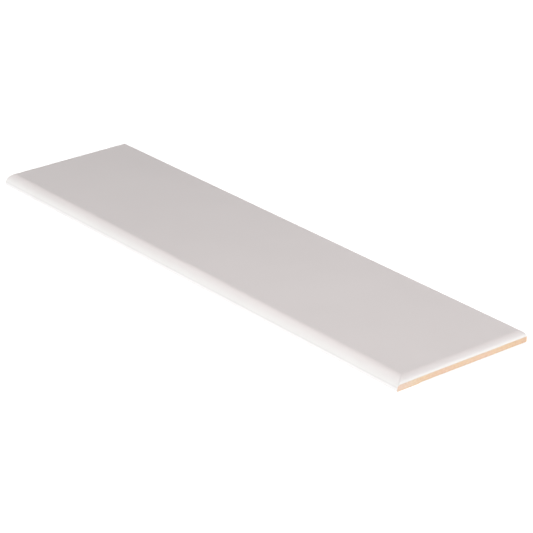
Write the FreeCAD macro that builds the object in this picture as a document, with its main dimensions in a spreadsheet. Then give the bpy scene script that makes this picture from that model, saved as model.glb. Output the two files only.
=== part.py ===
import FreeCAD, Part

import math
import os

import Sketcher

# Bullnose trim tile: one pressed and fired piece, lying face up.
# X runs along the length, the bullnose edge faces -Y, +Z is up, and the origin
# is the middle of the plane that the back of the tile rests on.

# The driving sizes in millimetres, the draft in degrees, and the two lug counts.
SIZES = [
    ("tile_length", 400, "nominal face length"),
    ("tile_width", 100, "nominal face width, bullnose edge to back edge"),
    ("tile_thickness", 8, "resting plane to glazed face"),
    ("bullnose_width", 7.5, "width of the round along the bullnose edge"),
    ("bullnose_drop", 5.5, "fall of the round from the face to the upright land under it"),
    ("cushion_width", 4.5, "width of the soft edge on the other three sides"),
    ("cushion_drop", 3.5, "fall of the soft edge from the face to the glaze line"),
    ("foot_width", 15, "flat foot under the bullnose edge"),
    ("foot_slope_run", 3.5, "width of the slope beside the foot"),
    ("back_relief", 0.6, "depth of the recess in the back"),
    ("lug_columns", 18, "lugs along the length"),
    ("lug_rows", 4, "lugs across the width"),
    ("lug_gap", 5, "groove between two lugs, and from the foot to the first lug"),
    ("lug_end_margin", 6, "short edge to the nearest lug"),
    ("lug_back_margin", 4, "back edge to the nearest lug"),
    ("lug_corner_radius", 2, "rounding of a lug seen from below"),
    ("lug_draft", 30, "lean of the sides of a lug"),
]

HALF_LENGTH = "sizes.tile_length / 2"
HALF_WIDTH = "sizes.tile_width / 2"
FIELD_WIDTH = "(sizes.tile_width - sizes.foot_width - sizes.foot_slope_run)"

# The lugs share out the room between their margins.
LUG_REACH_X = f"{HALF_LENGTH} - sizes.lug_end_margin"
LUG_REACH_Y = f"{FIELD_WIDTH} - sizes.lug_gap - {HALF_WIDTH}"
LUG_PITCH_X = "(sizes.tile_length - 2 * sizes.lug_end_margin + sizes.lug_gap) / sizes.lug_columns"
LUG_PITCH_Y = f"({FIELD_WIDTH} - sizes.lug_back_margin) / sizes.lug_rows"
LUG_LENGTH = f"{LUG_PITCH_X} - sizes.lug_gap"
LUG_WIDTH = f"{LUG_PITCH_Y} - sizes.lug_gap"

START, END, CENTRE = 1, 2, 3
ORIGIN = (-1, START)
RIGHT_ANGLE = math.pi / 2


def make_sheet(doc):
    """Write one driving size on each row, named by its alias."""
    sheet = doc.addObject("Spreadsheet::Sheet", "sizes")
    for row, (alias, value, meaning) in enumerate(SIZES, 1):
        sheet.set(f"A{row}", alias)
        sheet.set(f"B{row}", str(value))
        sheet.set(f"C{row}", meaning)
        sheet.setAlias(f"B{row}", alias)
    doc.recompute()
    return sheet


def origin_feature(body, role):
    """Find a plane or an axis of the body's own origin."""
    return next(item for item in body.Origin.OriginFeatures if item.Role == role)


def new_sketch(body, name, plane_role):
    sketch = body.newObject("Sketcher::SketchObject", name)
    sketch.AttachmentSupport = [(origin_feature(body, plane_role), "")]
    sketch.MapMode = "FlatFace"
    return sketch


def add_line(sketch, first, last):
    ends = [FreeCAD.Vector(*point, 0) for point in (first, last)]
    return sketch.addGeometry(Part.LineSegment(*ends))


def add_arc(sketch, centre, radius, start_angle, end_angle):
    circle = Part.Circle(FreeCAD.Vector(*centre, 0), FreeCAD.Vector(0, 0, 1), radius)
    return sketch.addGeometry(Part.ArcOfCircle(circle, start_angle, end_angle))


def bind(sketch, constraint, formula):
    """Add a dimension and tie it to the sheet."""
    index = sketch.addConstraint(constraint)
    sketch.setExpression(f"Constraints[{index}]", formula)


def bind_span(sketch, direction, first, last, formula):
    """Dimension the way from one point to another, along X or Y of the sketch."""
    step = sketch.getPoint(*last) - sketch.getPoint(*first)
    value = step.x if direction == "DistanceX" else step.y
    bind(sketch, Sketcher.Constraint(direction, *first, *last, value), formula)


def join(sketch, kind, first, last):
    sketch.addConstraint(Sketcher.Constraint(kind, *first, *last))


def add_rounding(sketch, sheet, kind, side, edge):
    """Arc between the level face and an upright edge; the kind names its width and its drop.

    The edge is that far from the middle, on the side given as 1 or -1.
    """
    width = sheet.getPropertyByName(f"{kind}_width")
    drop = sheet.getPropertyByName(f"{kind}_drop")
    radius = (width**2 + drop**2) / (2 * drop)
    centre = (side * (edge - width), sheet.tile_thickness - radius)
    lean = math.acos(1 - drop / radius)
    angles = (RIGHT_ANGLE - lean, RIGHT_ANGLE) if side > 0 else (RIGHT_ANGLE, RIGHT_ANGLE + lean)
    arc = add_arc(sketch, centre, radius, *angles)
    at_edge, at_face = (START, END) if side > 0 else (END, START)
    sketch.addConstraint(Sketcher.Constraint("Vertical", arc, CENTRE, arc, at_face))
    bind_span(sketch, "DistanceX", (arc, END), (arc, START), f"sizes.{kind}_width")
    bind_span(sketch, "DistanceY", (arc, at_edge), (arc, at_face), f"sizes.{kind}_drop")
    return arc


def draw_section(sketch, sheet):
    """Section across the tile: foot, recessed back, raw edge, cushion, face, bullnose and land."""
    half = sheet.tile_width / 2
    top = sheet.tile_thickness
    relief = sheet.back_relief
    land = top - sheet.bullnose_drop
    glaze_line = top - sheet.cushion_drop
    foot_end = sheet.foot_width - half
    slope_end = foot_end + sheet.foot_slope_run

    foot = add_line(sketch, (-half, 0), (foot_end, 0))
    slope = add_line(sketch, (foot_end, 0), (slope_end, relief))
    back = add_line(sketch, (slope_end, relief), (half, relief))
    raw_edge = add_line(sketch, (half, relief), (half, glaze_line))
    cushion = add_rounding(sketch, sheet, "cushion", 1, half)
    face = add_line(sketch, (half - sheet.cushion_width, top), (sheet.bullnose_width - half, top))
    bullnose = add_rounding(sketch, sheet, "bullnose", -1, half)
    front = add_line(sketch, (-half, land), (-half, 0))

    outline = [foot, slope, back, raw_edge, cushion, face, bullnose, front]
    for edge, following in zip(outline, outline[1:] + outline[:1]):
        join(sketch, "Coincident", (edge, END), (following, START))
    for edge in (foot, back, face):
        sketch.addConstraint(Sketcher.Constraint("Horizontal", edge))
    for edge in (raw_edge, front):
        sketch.addConstraint(Sketcher.Constraint("Vertical", edge))
    sketch.addConstraint(Sketcher.Constraint("PointOnObject", foot, START, -1))

    bind_span(sketch, "DistanceX", (foot, START), ORIGIN, HALF_WIDTH)
    bind_span(sketch, "DistanceX", ORIGIN, (raw_edge, START), HALF_WIDTH)
    bind_span(sketch, "DistanceX", (foot, START), (foot, END), "sizes.foot_width")
    bind_span(sketch, "DistanceX", (slope, START), (slope, END), "sizes.foot_slope_run")
    bind_span(sketch, "DistanceY", (slope, START), (slope, END), "sizes.back_relief")
    bind_span(sketch, "DistanceY", ORIGIN, (face, START), "sizes.tile_thickness")


def draw_end_waste(sketch, sheet):
    """What the cushion of a short edge leaves out: the corner above its arc."""
    half = sheet.tile_length / 2
    top = sheet.tile_thickness
    cushion = add_rounding(sketch, sheet, "cushion", 1, half)
    side = add_line(sketch, (half, top - sheet.cushion_drop), (half, top))
    lid = add_line(sketch, (half, top), (half - sheet.cushion_width, top))

    join(sketch, "Coincident", (cushion, START), (side, START))
    join(sketch, "Coincident", (side, END), (lid, START))
    join(sketch, "Coincident", (lid, END), (cushion, END))
    sketch.addConstraint(Sketcher.Constraint("Vertical", side))
    sketch.addConstraint(Sketcher.Constraint("Horizontal", lid))
    bind_span(sketch, "DistanceX", ORIGIN, (side, END), HALF_LENGTH)
    bind_span(sketch, "DistanceY", ORIGIN, (side, END), "sizes.tile_thickness")


def draw_lug(sketch, sheet):
    """Rounded rectangle of the first lug, beside the foot at one end."""
    left = sheet.lug_end_margin - sheet.tile_length / 2
    low = sheet.foot_width + sheet.foot_slope_run + sheet.lug_gap - sheet.tile_width / 2
    radius = sheet.lug_corner_radius
    right = left + 4 * radius
    high = low + 4 * radius

    corners = [(right, low), (right, high), (left, high), (left, low)]
    sides = []
    bends = []
    for quarter, corner in enumerate(corners):
        before = corners[quarter - 1]
        along = FreeCAD.Vector(corner[0] - before[0], corner[1] - before[1], 0).normalize()
        inward = FreeCAD.Vector(-along.y, along.x, 0)
        first = FreeCAD.Vector(*before, 0) + along * radius
        last = FreeCAD.Vector(*corner, 0) - along * radius
        middle = last + inward * radius
        turn = RIGHT_ANGLE * (quarter - 1)
        sides.append(add_line(sketch, (first.x, first.y), (last.x, last.y)))
        bends.append(add_arc(sketch, (middle.x, middle.y), radius, turn, turn + RIGHT_ANGLE))

    for quarter, (side, bend) in enumerate(zip(sides, bends)):
        join(sketch, "Tangent", (side, END), (bend, START))
        join(sketch, "Tangent", (bend, END), (sides[(quarter + 1) % len(sides)], START))
        level = "Vertical" if quarter % 2 else "Horizontal"
        sketch.addConstraint(Sketcher.Constraint(level, side))
    for bend in bends[1:]:
        sketch.addConstraint(Sketcher.Constraint("Equal", bends[0], bend))

    bottom, right_side, top, left_side = sides
    bind(sketch, Sketcher.Constraint("Radius", bends[0], radius), "sizes.lug_corner_radius")
    bind_span(sketch, "DistanceX", (left_side, START), ORIGIN, LUG_REACH_X)
    bind_span(sketch, "DistanceY", (bottom, START), ORIGIN, LUG_REACH_Y)
    bind_span(sketch, "DistanceX", (left_side, START), (right_side, START), LUG_LENGTH)
    bind_span(sketch, "DistanceY", (bottom, START), (top, START), LUG_WIDTH)


def build_tile(doc, sheet):
    body = doc.addObject("PartDesign::Body", "bullnose_tile")
    body.Label = "bullnose_tile"
    body.Placement = FreeCAD.Placement()

    section = new_sketch(body, "section", "YZ_Plane")
    draw_section(section, sheet)
    slab = body.newObject("PartDesign::Pad", "slab")
    slab.Profile = section
    slab.SideType = "Symmetric"
    slab.setExpression("Length", "sizes.tile_length")

    end_waste = new_sketch(body, "end_waste", "XZ_Plane")
    draw_end_waste(end_waste, sheet)
    end_cushion = body.newObject("PartDesign::Pocket", "end_cushion")
    end_cushion.Profile = end_waste
    end_cushion.SideType = "Symmetric"
    end_cushion.setExpression("Length", "sizes.tile_width")

    both_ends = body.newObject("PartDesign::Mirrored", "both_ends")
    both_ends.Originals = [end_cushion]
    both_ends.MirrorPlane = (origin_feature(body, "YZ_Plane"), [""])
    body.Tip = both_ends

    lug_outline = new_sketch(body, "lug_outline", "XY_Plane")
    draw_lug(lug_outline, sheet)
    lug = body.newObject("PartDesign::Pad", "lug")
    lug.Profile = lug_outline
    lug.setExpression("Length", "sizes.back_relief")
    lug.setExpression("TaperAngle", "sizes.lug_draft")

    lugs = body.newObject("PartDesign::MultiTransform", "lugs")
    lugs.Originals = [lug]
    lugs.Transformations = [
        add_row(body, "lug_row", (lug_outline, ["H_Axis"]), LUG_PITCH_X, "sizes.lug_columns"),
        add_row(body, "lug_rows", (lug_outline, ["V_Axis"]), LUG_PITCH_Y, "sizes.lug_rows"),
    ]
    body.Tip = lugs
    return body


def add_row(body, name, direction, pitch, count):
    """One straight repeat, in steps of the pitch."""
    row = body.newObject("PartDesign::LinearPattern", name)
    row.Direction = direction
    row.Mode = "Spacing"
    row.setExpression("Offset", pitch)
    row.setExpression("Occurrences", count)
    return row


def check(doc, pieces):
    """Stop if a feature failed or a piece is not one sound solid."""
    for item in doc.Objects:
        if "Invalid" in item.State or "Error" in item.State:
            raise RuntimeError(f"{item.Name} failed: {item.State}")
    for piece in pieces:
        shape = piece.Shape
        if shape.isNull() or not shape.isValid() or len(shape.Solids) != 1:
            raise RuntimeError(f"{piece.Label} is not one valid solid")


def main():
    doc = FreeCAD.newDocument("bullnose_tile")
    sheet = make_sheet(doc)
    pieces = [build_tile(doc, sheet)]
    doc.recompute()
    check(doc, pieces)
    os.makedirs("parts", exist_ok=True)
    for piece in pieces:
        piece.Shape.exportStep(f"parts/{piece.Label}.step")
        print(piece.Label, "volume", round(piece.Shape.Volume, 1), piece.Shape.BoundBox)


main()
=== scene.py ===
import math

import bmesh
import bpy
from mathutils import Matrix, Vector, noise


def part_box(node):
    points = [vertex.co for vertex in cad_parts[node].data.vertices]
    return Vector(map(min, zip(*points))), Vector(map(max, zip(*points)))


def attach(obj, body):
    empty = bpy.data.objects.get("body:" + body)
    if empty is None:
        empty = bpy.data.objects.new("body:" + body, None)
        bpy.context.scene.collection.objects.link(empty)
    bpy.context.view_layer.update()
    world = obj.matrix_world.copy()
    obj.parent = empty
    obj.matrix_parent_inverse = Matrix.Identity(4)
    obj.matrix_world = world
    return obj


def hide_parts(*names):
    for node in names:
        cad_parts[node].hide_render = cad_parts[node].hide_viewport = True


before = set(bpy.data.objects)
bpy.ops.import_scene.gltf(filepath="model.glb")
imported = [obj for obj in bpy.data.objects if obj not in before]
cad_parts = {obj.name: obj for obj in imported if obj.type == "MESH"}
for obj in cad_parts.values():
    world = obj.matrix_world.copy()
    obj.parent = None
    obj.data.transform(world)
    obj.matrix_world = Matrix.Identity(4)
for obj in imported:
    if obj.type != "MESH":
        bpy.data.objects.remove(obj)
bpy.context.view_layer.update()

# Sizes of the tile, in metres. The frame's origin is in the middle of the footprint, so the highest
# corner of the solid holds half the length, half the width and the thickness.
NODE = "bullnose_tile"
MM = 0.001
HALF_LENGTH, HALF_WIDTH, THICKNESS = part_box(NODE)[1]
BULLNOSE_WIDTH = 7.5 * MM
BULLNOSE_DROP = 5.5 * MM
CUSHION_WIDTH = 4.5 * MM
CUSHION_DROP = 3.5 * MM
BACK_RELIEF = 0.6 * MM
FOOT_WIDTH = 15.0 * MM
FOOT_SLOPE_RUN = 3.5 * MM
LUG_COLUMNS = 18
LUG_ROWS = 4
LUG_GAP = 5.0 * MM
LUG_END_MARGIN = 6.0 * MM
LUG_BACK_MARGIN = 4.0 * MM
LUG_CORNER_RADIUS = 2.0 * MM
LUG_SIDE_RUN = 0.45 * MM

# How the glaze and the raw body depart from sharp edges. The glaze creeps down by a slowly changing
# amount, at most a share of the side below it, and a higher mitre power is a sharper mitre.
GLAZE_CREEP = 0.25 * MM
GLAZE_CREEP_WAVE = 9.0 * MM
GLAZE_CREEP_SHARE = 0.1
MITRE_POWER = 16
BEAD_INSET = 0.08 * MM
ARRIS = 0.14 * MM
WALL_GRAIN = 0.035 * MM
WALL_GRAIN_SIZE = 1.3 * MM
BACK_GRAIN = 0.03 * MM
BACK_GRAIN_SIZE = 6.0 * MM
SHARP_ANGLE = math.radians(50)

# Rings of the side wall, from the glaze line down to the back:
# share of the height passed, and inset from the outline. The bullnose side is glazed down to
# the foot, so it has no raw part and only the inset of the arris.
WALL_RINGS = [
    (0.03, 0.00 * MM),
    (0.06, 0.05 * MM),
    (0.075, BEAD_INSET),
    (0.18, BEAD_INSET),
    (0.36, BEAD_INSET),
    (0.54, BEAD_INSET),
    (0.72, BEAD_INSET),
    (0.90, BEAD_INSET),
    (0.97, BEAD_INSET + 0.3 * ARRIS),
]
FIRST_RAW_RING = 3

# Grid steps over the cushion edge, over the bullnose below the cushion's drop and over the slope
# behind the foot, and the places of the grid lines across a lug's edge, counted outwards.
CUSHION_STEPS = 14
LOW_STEPS = 6
BULLNOSE_STEPS = CUSHION_STEPS + LOW_STEPS
SLOPE_STEPS = 6
LUG_LINE_OFFSETS = (-2.0 * MM, -1.2 * MM, -0.5 * MM, 0.0, 0.5 * LUG_SIDE_RUN, LUG_SIDE_RUN)

# The tile's two materials, by their place in its list.
GLAZED = 0
RAW = 1

# The white glaze: its slow drift as it is in the roll along the foot, and its tone as a share of
# that by height above the floor, as a share of the thickness. These tones by height are painted
# light: painted light from the white floor that whitens the roll, a painted shade line over it,
# the clean white rounded edges, and painted shade that makes the level face darker and warmer.
GLAZE_DRIFT = [(0.3, (0.885, 0.868, 0.862)), (0.7, (0.905, 0.888, 0.882))]
GLAZE_PAINTED_LIGHT_BY_HEIGHT = [
    (0.26, (1.0, 1.0, 1.0)),
    (0.32, (0.87, 0.867, 0.86)),
    (0.36, (0.87, 0.867, 0.86)),
    (0.42, (0.938, 0.937, 0.928)),
    (0.70, (0.938, 0.920, 0.914)),
    (0.97, (0.938, 0.885, 0.880)),
]
GLAZE_PAINTED_LIGHT_WAVE = 0.02
GLAZE_ROUGHNESS = 0.38
GLAZE_IOR = 1.5
PEEL_STRENGTH = 0.06
PEEL_DEPTH = 0.4 * MM

# The raw body: its grains as they are over the foot, the pinker patches, and its tone from the
# bullnose edge to the back edge, as a share of the width.
BODY_GRAINS = [
    (0.3, (0.80, 0.594, 0.443)),
    (0.5, (0.90, 0.705, 0.552)),
    (0.7, (0.94, 0.795, 0.673)),
]
BODY_TINTS = [(0.35, (1.0, 0.965, 1.0)), (0.65, (0.995, 1.0, 0.955))]
BODY_TONES = [
    (0.12, (1.0, 1.0, 1.0)),
    (0.20, (1.0, 0.943, 0.87)),
    (0.78, (1.0, 0.943, 0.87)),
    (0.90, (0.97, 0.895, 0.79)),
]
BODY_TONE_WAVE = 0.03
BODY_ROUGHNESS = 0.9
BODY_SPECULAR = 0.25
GRAIN_STRENGTH = 0.4
GRAIN_DEPTH = 0.3 * MM

# Scales of the noises in the materials, in waves per metre.
DRIFT_SCALE = 18.0
PEEL_SCALE = 420.0
TONE_WAVE_SCALE = 40.0
GRAIN_SCALE = 900.0
TINT_SCALE = 45.0

# The photograph's view: direction and roll in degrees, lens and framing.
IMAGE_SIZE = 533
FOCAL_PIXELS = 2272
SENSOR_WIDTH = 36.0
CAMERA_AZIMUTH = 51.57
CAMERA_ELEVATION = 23.80
CAMERA_ROLL = -0.37
CAMERA_DISTANCE = 1.4275
AIM_RIGHT = 13.35 * MM
AIM_UP = -5.6 * MM

# Soft boxes round the tile: name, azimuth and elevation in degrees, distance, width and height in
# metres, and power in watts. Azimuth is 0 in front of the bullnose edge and 90 at the right end.
LAMPS = [
    ("front_strip", 0, 3, 3.0, 3.0, 0.3, 48.3),
    ("left_strip", -90, 3, 3.0, 3.0, 0.3, 49.5),
    ("back_strip", 135, 3, 3.0, 3.0, 0.3, 56.1),
    ("left_high", -90, 45, 3.0, 1.0, 1.0, 8.08),
    ("front_near", 0, 55, 0.9, 0.4, 0.4, 1.32),
    ("right_near", 90, 40, 0.7, 0.3, 0.3, 0.542),
    ("overhead_right", 90, 70, 0.55, 0.3, 0.3, 0.63),
]
WORLD_LIGHT = 0.15

# The floor is a hair below the feet of the tile, so that no two faces share a plane.
FLOOR_REACH = 1.2
FLOOR_GAP = 0.02 * MM
FLOOR_COLOUR = (0.9, 0.9, 0.9, 1.0)
FLOOR_LIFT = 0.75


def spaced(first, last, count):
    """Evenly spaced values, both ends included."""
    return [first + (last - first) * step / (count - 1) for step in range(count)]


def smooth(value):
    """Ease from 0 to 1."""
    value = min(max(value, 0.0), 1.0)
    return value * value * (3 - 2 * value)


def rounding_radius(width, drop):
    """Radius of an arc that starts level and falls that much over that width."""
    return (width**2 + drop**2) / (2 * drop)


def arc_fall(reach, radius):
    """How far an arc of that radius has fallen at a distance from its start."""
    reach = min(max(reach, 0.0), radius)
    return radius - math.sqrt(radius**2 - reach**2)


def arc_reach(fall, radius):
    """Distance from the start of an arc at which it has fallen that far."""
    return math.sqrt(radius**2 - (radius - fall) ** 2)


def arc_falls(first, last, radius, steps):
    """Falls along an arc from past the first to the last, evenly spaced by angle."""
    start = math.acos(1 - first / radius)
    end = math.acos(1 - last / radius)
    return [radius * (1 - math.cos(angle)) for angle in spaced(start, end, steps + 1)[1:]]


# The bullnose passes through the falls of the cushion first, so that the mitre between the two
# runs through corners of the grid.
CUSHION_RADIUS = rounding_radius(CUSHION_WIDTH, CUSHION_DROP)
CUSHION_FALLS = arc_falls(0.0, CUSHION_DROP, CUSHION_RADIUS, CUSHION_STEPS)
CUSHION_REACHES = [arc_reach(fall, CUSHION_RADIUS) for fall in CUSHION_FALLS]
BULLNOSE_RADIUS = rounding_radius(BULLNOSE_WIDTH, BULLNOSE_DROP)
LOW_FALLS = arc_falls(CUSHION_DROP, BULLNOSE_DROP, BULLNOSE_RADIUS, LOW_STEPS)
BULLNOSE_REACHES = [arc_reach(fall, BULLNOSE_RADIUS) for fall in CUSHION_FALLS + LOW_FALLS]


def face_height(x, y):
    """Height of the glazed side. Where two soft edges meet, the mitre is eased."""
    end_fall = arc_fall(abs(x) - (HALF_LENGTH - CUSHION_WIDTH), CUSHION_RADIUS)
    back_fall = arc_fall(y - (HALF_WIDTH - CUSHION_WIDTH), CUSHION_RADIUS)
    front_fall = arc_fall(BULLNOSE_WIDTH - HALF_WIDTH - y, BULLNOSE_RADIUS)
    falls = (end_fall, max(back_fall, front_fall))
    return THICKNESS - sum(fall**MITRE_POWER for fall in falls) ** (1 / MITRE_POWER)


FOOT_END = FOOT_WIDTH - HALF_WIDTH
LUG_REACH_X = HALF_LENGTH - LUG_END_MARGIN
LUG_START_Y = FOOT_END + FOOT_SLOPE_RUN + LUG_GAP
LUG_PITCH_X = (2 * LUG_REACH_X + LUG_GAP) / LUG_COLUMNS
LUG_PITCH_Y = (HALF_WIDTH - LUG_BACK_MARGIN - LUG_START_Y + LUG_GAP) / LUG_ROWS
LUG_LENGTH = LUG_PITCH_X - LUG_GAP
LUG_WIDTH = LUG_PITCH_Y - LUG_GAP
LUG_STARTS_X = [column * LUG_PITCH_X - LUG_REACH_X for column in range(LUG_COLUMNS)]
LUG_STARTS_Y = [row * LUG_PITCH_Y + LUG_START_Y for row in range(LUG_ROWS)]


def lug_distance(x, y):
    """Distance from the outline of the nearest lug, negative inside it."""
    column = min(max(round((x + LUG_REACH_X - LUG_LENGTH / 2) / LUG_PITCH_X), 0), LUG_COLUMNS - 1)
    row = min(max(round((y - LUG_START_Y - LUG_WIDTH / 2) / LUG_PITCH_Y), 0), LUG_ROWS - 1)
    across = abs(x - LUG_STARTS_X[column] - LUG_LENGTH / 2) - LUG_LENGTH / 2 + LUG_CORNER_RADIUS
    along = abs(y - LUG_STARTS_Y[row] - LUG_WIDTH / 2) - LUG_WIDTH / 2 + LUG_CORNER_RADIUS
    outside = math.hypot(max(across, 0.0), max(along, 0.0))
    return outside + min(max(across, along), 0.0) - LUG_CORNER_RADIUS


def back_height(x, y):
    """Height of the underside: the foot and the lugs touch the floor, and the rest is recessed."""
    behind_foot = smooth((y - FOOT_END) / FOOT_SLOPE_RUN)
    beside_lug = smooth(lug_distance(x, y) / LUG_SIDE_RUN)
    grain = noise.noise(Vector((x, y, 0)) / BACK_GRAIN_SIZE)
    return BACK_RELIEF * min(behind_foot, beside_lug) + BACK_GRAIN * max(grain, 0.0)


def lug_lines(starts, size):
    """Grid lines of the lugs along one axis, close together where their sides and corners bend."""
    lines = []
    for start in starts:
        lines += [start - offset for offset in LUG_LINE_OFFSETS]
        lines += [start + size + offset for offset in LUG_LINE_OFFSETS]
        lines.append(start + size / 2)
        lines.append(start - LUG_GAP / 2)
    return sorted(lines)


def back_lines():
    """Grid lines of the underside, along X and along Y."""
    edge = BEAD_INSET + ARRIS
    end_lines = [HALF_LENGTH - 2 * edge, HALF_LENGTH - edge]
    across = [-line for line in reversed(end_lines)]
    across += lug_lines(LUG_STARTS_X, LUG_LENGTH)[1:] + end_lines
    foot = spaced(edge - HALF_WIDTH, FOOT_END, BULLNOSE_STEPS)
    slope = spaced(FOOT_END, FOOT_END + FOOT_SLOPE_RUN, SLOPE_STEPS + 1)
    along = foot[:-1] + slope + lug_lines(LUG_STARTS_Y, LUG_WIDTH)
    along += [HALF_WIDTH - 2 * edge, HALF_WIDTH - edge]
    return across, along


def face_lines(count_x, count_y):
    """Grid lines of the glazed side: as many as on the underside, dense on the soft edges."""
    flat_x = HALF_LENGTH - CUSHION_WIDTH
    ends = [flat_x + reach for reach in CUSHION_REACHES]
    across = [-line for line in reversed(ends)]
    across += spaced(-flat_x, flat_x, count_x - 2 * CUSHION_STEPS) + ends
    flat_low = BULLNOSE_WIDTH - HALF_WIDTH
    flat_high = HALF_WIDTH - CUSHION_WIDTH
    along = [flat_low - reach for reach in reversed(BULLNOSE_REACHES)]
    along += spaced(flat_low, flat_high, count_y - BULLNOSE_STEPS - CUSHION_STEPS)
    along += [flat_high + reach for reach in CUSHION_REACHES]
    return across, along


def perimeter(last_x, last_y):
    """Grid places round the outline, counter-clockwise seen from above."""
    ring = [(i, 0) for i in range(last_x)] + [(last_x, j) for j in range(last_y)]
    ring += [(i, last_y) for i in range(last_x, 0, -1)] + [(0, j) for j in range(last_y, 0, -1)]
    return ring


def side_of(place, last):
    """Which outline edge a grid place is on: -1, 1, or 0 for neither."""
    return -1 if place == 0 else 1 if place == last else 0


def lower_glaze_line(face, back, ring):
    """Let the glaze creep down the side."""
    for i, j in ring:
        point = face[i][j].co
        creep = 0.5 + 0.5 * noise.noise(point / GLAZE_CREEP_WAVE)
        room = point.z - back[i][j].co.z
        point.z -= min(GLAZE_CREEP * creep, GLAZE_CREEP_SHARE * room)


def wall_point(top, bottom, sides, share, inset):
    """Point of the side wall between a point of the glaze line and one of the back."""
    point = top.lerp(bottom, share)
    for axis, (side, half) in enumerate(zip(sides, (HALF_LENGTH, HALF_WIDTH))):
        on_bullnose = axis == 1 and side < 0
        limit = half - (max(inset - BEAD_INSET, 0.0) if on_bullnose else inset)
        point[axis] = side * limit if side else min(max(point[axis], -limit), limit)
    return point


def add_wall_loop(mesh, face, back, ring, number):
    """Points of one ring of the side wall."""
    share, inset = WALL_RINGS[number]
    last_x = len(face) - 1
    last_y = len(face[0]) - 1
    loop = []
    for i, j in ring:
        top = face[i][j].co
        grain = noise.noise(Vector((top.x, top.y, share * THICKNESS)) / WALL_GRAIN_SIZE)
        rough = WALL_GRAIN * abs(grain) if number >= FIRST_RAW_RING else 0.0
        sides = (side_of(i, last_x), side_of(j, last_y))
        point = wall_point(top, back[i][j].co, sides, share, inset + rough)
        loop.append(mesh.verts.new(point))
    return loop


def add_grid_faces(mesh, face, back):
    """Faces of the glazed side and of the underside, whose diagonals follow the mitres."""
    for i in range(len(face) - 1):
        for j in range(len(face[0]) - 1):
            quad = [face[i][j], face[i + 1][j], face[i + 1][j + 1], face[i][j + 1]]
            if quad[0].co.x * quad[0].co.y < 0:
                quad = quad[1:] + quad[:1]
            mesh.faces.new(quad)
            raw = mesh.faces.new((back[i][j], back[i][j + 1], back[i + 1][j + 1], back[i + 1][j]))
            raw.material_index = RAW


def add_wall_faces(mesh, loops, ring):
    """Faces of the side wall: raw below the bead of the glaze line, but for the bullnose side."""
    for number, (upper, lower) in enumerate(zip(loops, loops[1:])):
        for place in range(len(ring)):
            following = (place + 1) % len(ring)
            quad = mesh.faces.new((upper[place], lower[place], lower[following], upper[following]))
            on_bullnose = ring[place][1] == 0 and ring[following][1] == 0
            quad.material_index = GLAZED if number < FIRST_RAW_RING or on_bullnose else RAW


def build_tile():
    """The whole tile as one closed mesh."""
    back_x, back_y = back_lines()
    face_x, face_y = face_lines(len(back_x), len(back_y))
    mesh = bmesh.new()
    face = [[mesh.verts.new((x, y, face_height(x, y))) for y in face_y] for x in face_x]
    back = [[mesh.verts.new((x, y, back_height(x, y))) for y in back_y] for x in back_x]

    ring = perimeter(len(back_x) - 1, len(back_y) - 1)
    lower_glaze_line(face, back, ring)
    loops = [[face[i][j] for i, j in ring]]
    for number in range(len(WALL_RINGS)):
        loops.append(add_wall_loop(mesh, face, back, ring, number))
    loops.append([back[i][j] for i, j in ring])
    add_grid_faces(mesh, face, back)
    add_wall_faces(mesh, loops, ring)

    data = bpy.data.meshes.new("glazed_bullnose_tile")
    mesh.to_mesh(data)
    mesh.free()
    data.shade_smooth()
    data.set_sharp_from_angle(angle=SHARP_ANGLE)
    tile = bpy.data.objects.new("glazed_bullnose_tile", data)
    bpy.context.scene.collection.objects.link(tile)
    return tile


def node_tree(material):
    """A material's node tree and its Principled shader."""
    material.use_nodes = True
    tree = material.node_tree
    return tree, tree.nodes["Principled BSDF"]


def noise_node(tree, scale, detail=2.0, roughness=0.5):
    """Noise in the tile's own coordinates; scale is in waves per metre."""
    place = tree.nodes.new("ShaderNodeTexCoord")
    texture = tree.nodes.new("ShaderNodeTexNoise")
    texture.inputs["Scale"].default_value = scale
    texture.inputs["Detail"].default_value = detail
    texture.inputs["Roughness"].default_value = roughness
    tree.links.new(place.outputs["Object"], texture.inputs["Vector"])
    return texture.outputs["Fac"]


def ramp_node(tree, source, stops):
    """Colour ramp from a 0 to 1 value; stops are (position, colour)."""
    ramp = tree.nodes.new("ShaderNodeValToRGB")
    elements = ramp.color_ramp.elements
    elements.remove(elements[1])
    for position, colour in stops:
        elements.new(position).color = (*colour, 1.0)
    elements.remove(elements[0])
    tree.links.new(source, ramp.inputs["Fac"])
    return ramp.outputs["Color"]


def share_node(tree, axis, low, high, wave):
    """Place along one axis, from 0 at low to 1 at high, plus a slow wave."""
    place = tree.nodes.new("ShaderNodeTexCoord")
    split = tree.nodes.new("ShaderNodeSeparateXYZ")
    share = tree.nodes.new("ShaderNodeMapRange")
    share.clamp = False
    share.inputs["From Min"].default_value = low
    share.inputs["From Max"].default_value = high
    tree.links.new(place.outputs["Object"], split.inputs["Vector"])
    tree.links.new(split.outputs[axis], share.inputs["Value"])
    waved = tree.nodes.new("ShaderNodeMath")
    waved.operation = "MULTIPLY_ADD"
    waved.inputs[1].default_value = wave
    tree.links.new(noise_node(tree, TONE_WAVE_SCALE, detail=1.0), waved.inputs[0])
    tree.links.new(share.outputs["Result"], waved.inputs[2])
    return waved.outputs[0]


def multiply_node(tree, first, second):
    """Product of two colours."""
    product = tree.nodes.new("ShaderNodeMix")
    product.data_type = "RGBA"
    product.blend_type = "MULTIPLY"
    factor, *colours = [socket for socket in product.inputs if socket.enabled]
    factor.default_value = 1.0
    for source, socket in zip((first, second), colours):
        tree.links.new(source, socket)
    return next(socket for socket in product.outputs if socket.enabled)


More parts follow.
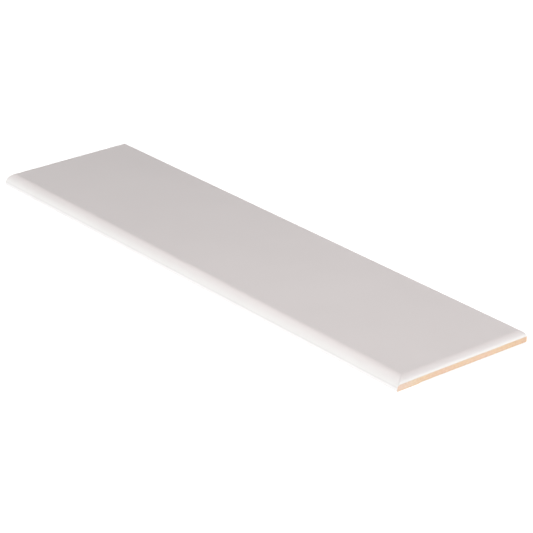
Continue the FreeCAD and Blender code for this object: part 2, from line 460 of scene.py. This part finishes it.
def add_bump(tree, shader, height, strength, depth):
    """Bump of the shader's surface by a 0 to 1 height."""
    bump = tree.nodes.new("ShaderNodeBump")
    bump.inputs["Strength"].default_value = strength
    bump.inputs["Distance"].default_value = depth
    tree.links.new(height, bump.inputs["Height"])
    tree.links.new(bump.outputs["Normal"], shader.inputs["Normal"])


def glaze_material():
    """White satin glaze with a slow tonal drift, painted light and shade by height and a fine
    orange peel.
    """
    material = bpy.data.materials.new("white_glaze")
    tree, shader = node_tree(material)
    drift = ramp_node(tree, noise_node(tree, DRIFT_SCALE), GLAZE_DRIFT)
    height = share_node(tree, "Z", 0.0, THICKNESS, GLAZE_PAINTED_LIGHT_WAVE)
    # Painted light by height: painted white floor light on the roll, a painted shade line over it
    # and painted shade on the level face.
    painted_light_by_height = ramp_node(tree, height, GLAZE_PAINTED_LIGHT_BY_HEIGHT)
    tree.links.new(multiply_node(tree, drift, painted_light_by_height), shader.inputs["Base Color"])
    shader.inputs["Roughness"].default_value = GLAZE_ROUGHNESS
    shader.inputs["IOR"].default_value = GLAZE_IOR
    add_bump(tree, shader, noise_node(tree, PEEL_SCALE, detail=1.0), PEEL_STRENGTH, PEEL_DEPTH)
    return material


def body_material():
    """Raw fired body: matt, pale orange with pinker patches and fine light and dark grains."""
    material = bpy.data.materials.new("raw_body")
    tree, shader = node_tree(material)
    grain = noise_node(tree, GRAIN_SCALE, detail=4.0, roughness=0.7)
    grains = ramp_node(tree, grain, BODY_GRAINS)
    tint = ramp_node(tree, noise_node(tree, TINT_SCALE), BODY_TINTS)
    across = share_node(tree, "Y", -HALF_WIDTH, HALF_WIDTH, BODY_TONE_WAVE)
    by_width = ramp_node(tree, across, BODY_TONES)
    colour = multiply_node(tree, multiply_node(tree, grains, tint), by_width)
    tree.links.new(colour, shader.inputs["Base Color"])
    shader.inputs["Roughness"].default_value = BODY_ROUGHNESS
    shader.inputs["Specular IOR Level"].default_value = BODY_SPECULAR
    add_bump(tree, shader, grain, GRAIN_STRENGTH, GRAIN_DEPTH)
    return material


def direction(azimuth, elevation):
    """Unit vector out from the tile; azimuth and elevation in degrees."""
    azimuth = math.radians(azimuth)
    elevation = math.radians(elevation)
    level = math.cos(elevation)
    return Vector((math.sin(azimuth) * level, -math.cos(azimuth) * level, math.sin(elevation)))


def add_camera():
    """The photograph's camera, aimed a little to the side of the tile's middle."""
    data = bpy.data.cameras.new("camera")
    data.sensor_width = SENSOR_WIDTH
    data.lens = FOCAL_PIXELS / IMAGE_SIZE * SENSOR_WIDTH
    camera = bpy.data.objects.new("camera", data)
    bpy.context.scene.collection.objects.link(camera)
    back = direction(CAMERA_AZIMUTH, CAMERA_ELEVATION)
    right = direction(CAMERA_AZIMUTH + 90, 0)
    up = back.cross(right)
    roll = math.radians(CAMERA_ROLL)
    rolled_right = math.cos(roll) * right + math.sin(roll) * up
    rolled_up = math.cos(roll) * up - math.sin(roll) * right
    place = AIM_RIGHT * rolled_right + AIM_UP * rolled_up + CAMERA_DISTANCE * back
    turn = Matrix((rolled_right, rolled_up, back)).transposed().to_4x4()
    camera.matrix_world = Matrix.Translation(place) @ turn
    bpy.context.scene.camera = camera


def add_lamp(name, azimuth, elevation, distance, width, height, power):
    """Soft box that faces the tile from that direction."""
    data = bpy.data.lights.new(name, "AREA")
    data.shape = "RECTANGLE"
    data.size = width
    data.size_y = height
    data.energy = power
    lamp = bpy.data.objects.new(name, data)
    bpy.context.scene.collection.objects.link(lamp)
    out = direction(azimuth, elevation)
    lamp.location = distance * out
    lamp.rotation_euler = out.to_track_quat("Z", "Y").to_euler()


def seen_directly(tree):
    """1 for rays from the camera and for mirror and glass rays, else 0."""
    path = tree.nodes.new("ShaderNodeLightPath")
    total = path.outputs["Is Camera Ray"]
    for name in ("Is Glossy Ray", "Is Transmission Ray"):
        largest = tree.nodes.new("ShaderNodeMath")
        largest.operation = "MAXIMUM"
        tree.links.new(total, largest.inputs[0])
        tree.links.new(path.outputs[name], largest.inputs[1])
        total = largest.outputs[0]
    return total


def set_world():
    """Even soft light all round, which is plain white where it is seen."""
    world = bpy.data.worlds.new("studio")
    bpy.context.scene.world = world
    world.use_nodes = True
    tree = world.node_tree
    shader = tree.nodes["Background"]
    shader.inputs["Color"].default_value = (1.0, 1.0, 1.0, 1.0)
    strength = tree.nodes.new("ShaderNodeMapRange")
    strength.inputs["To Min"].default_value = WORLD_LIGHT
    strength.inputs["To Max"].default_value = 1.0
    tree.links.new(seen_directly(tree), strength.inputs["Value"])
    tree.links.new(strength.outputs["Result"], shader.inputs["Strength"])


def floor_material():
    """Matt white, lifted to plain white where it is seen."""
    material = bpy.data.materials.new("white_floor")
    tree, shader = node_tree(material)
    shader.inputs["Base Color"].default_value = FLOOR_COLOUR
    shader.inputs["Roughness"].default_value = 1.0
    shader.inputs["Specular IOR Level"].default_value = 0.0
    lift = tree.nodes.new("ShaderNodeEmission")
    add = tree.nodes.new("ShaderNodeAddShader")
    strength = tree.nodes.new("ShaderNodeMath")
    strength.operation = "MULTIPLY"
    strength.inputs[1].default_value = FLOOR_LIFT
    tree.links.new(seen_directly(tree), strength.inputs[0])
    tree.links.new(strength.outputs[0], lift.inputs["Strength"])
    tree.links.new(shader.outputs["BSDF"], add.inputs[0])
    tree.links.new(lift.outputs["Emission"], add.inputs[1])
    tree.links.new(add.outputs["Shader"], tree.nodes["Material Output"].inputs["Surface"])
    return material


def add_floor():
    """Pale floor under the tile, which keeps the tile's shadow."""
    data = bpy.data.meshes.new("floor")
    outline = [(-1, -1), (1, -1), (1, 1), (-1, 1)]
    corners = [(FLOOR_REACH * x, FLOOR_REACH * y, -FLOOR_GAP) for x, y in outline]
    data.from_pydata(corners, [], [(0, 1, 2, 3)])
    data.materials.append(floor_material())
    floor = bpy.data.objects.new("floor", data)
    bpy.context.scene.collection.objects.link(floor)


tile = build_tile()
tile.data.materials.append(glaze_material())
tile.data.materials.append(body_material())
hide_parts(NODE)
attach(tile, "root")

add_floor()
set_world()
for lamp in LAMPS:
    add_lamp(*lamp)
add_camera()
bpy.context.scene.view_settings.view_transform = "Standard"
